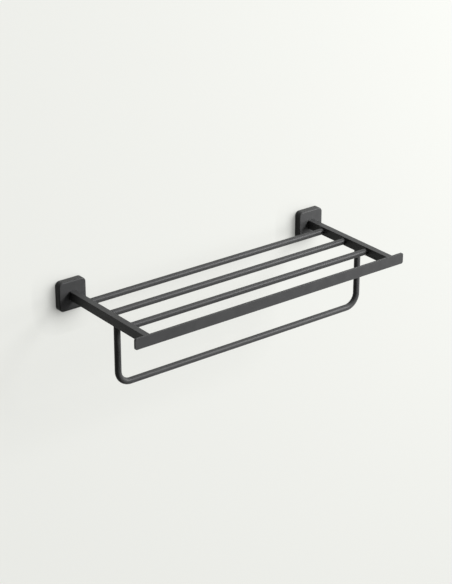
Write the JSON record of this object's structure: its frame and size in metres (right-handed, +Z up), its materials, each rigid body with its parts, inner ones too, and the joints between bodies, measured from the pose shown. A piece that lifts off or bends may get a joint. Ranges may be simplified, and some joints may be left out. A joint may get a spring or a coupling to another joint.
{
  "type": "towel rack with shelf",
  "caption": "Wall-mounted towel rack: a shelf of round rods between side arms, a flat front rail and a U-shaped towel bar below.",
  "frame": {"origin": "on the wall, midway between the two arms and level with their centre lines", "axes": "+X along the wall, to the right as seen from the room; +Y into the wall, so the rack stands out along -Y; +Z up"},
  "size_m": [0.6, 0.2827, 0.1545],
  "materials": {
    "black_finish": "satin black powder coat",
    "zinc_plated_steel": "bright zinc plate",
    "nylon": "grey moulded nylon"
  },
  "bodies": {
    "root": {"rosette_left": "black_finish", "arm_left": "black_finish", "wall_bracket_left": "zinc_plated_steel", "lock_washer_left": "zinc_plated_steel", "arm_bolt_left": "zinc_plated_steel", "grub_screw_left": "zinc_plated_steel", "wall_screw_left_upper": "zinc_plated_steel", "wall_plug_left_upper": "nylon", "wall_screw_left_lower": "zinc_plated_steel", "wall_plug_left_lower": "nylon", "rosette_right": "black_finish", "arm_right": "black_finish", "wall_bracket_right": "zinc_plated_steel", "lock_washer_right": "zinc_plated_steel", "arm_bolt_right": "zinc_plated_steel", "grub_screw_right": "zinc_plated_steel", "wall_screw_right_upper": "zinc_plated_steel", "wall_plug_right_upper": "nylon", "wall_screw_right_lower": "zinc_plated_steel", "wall_plug_right_lower": "nylon", "shelf_rod_back": "black_finish", "shelf_rod_middle": "black_finish", "shelf_rod_front": "black_finish", "front_rail": "black_finish", "towel_bar": "black_finish"}
  },
  "joints": []
}
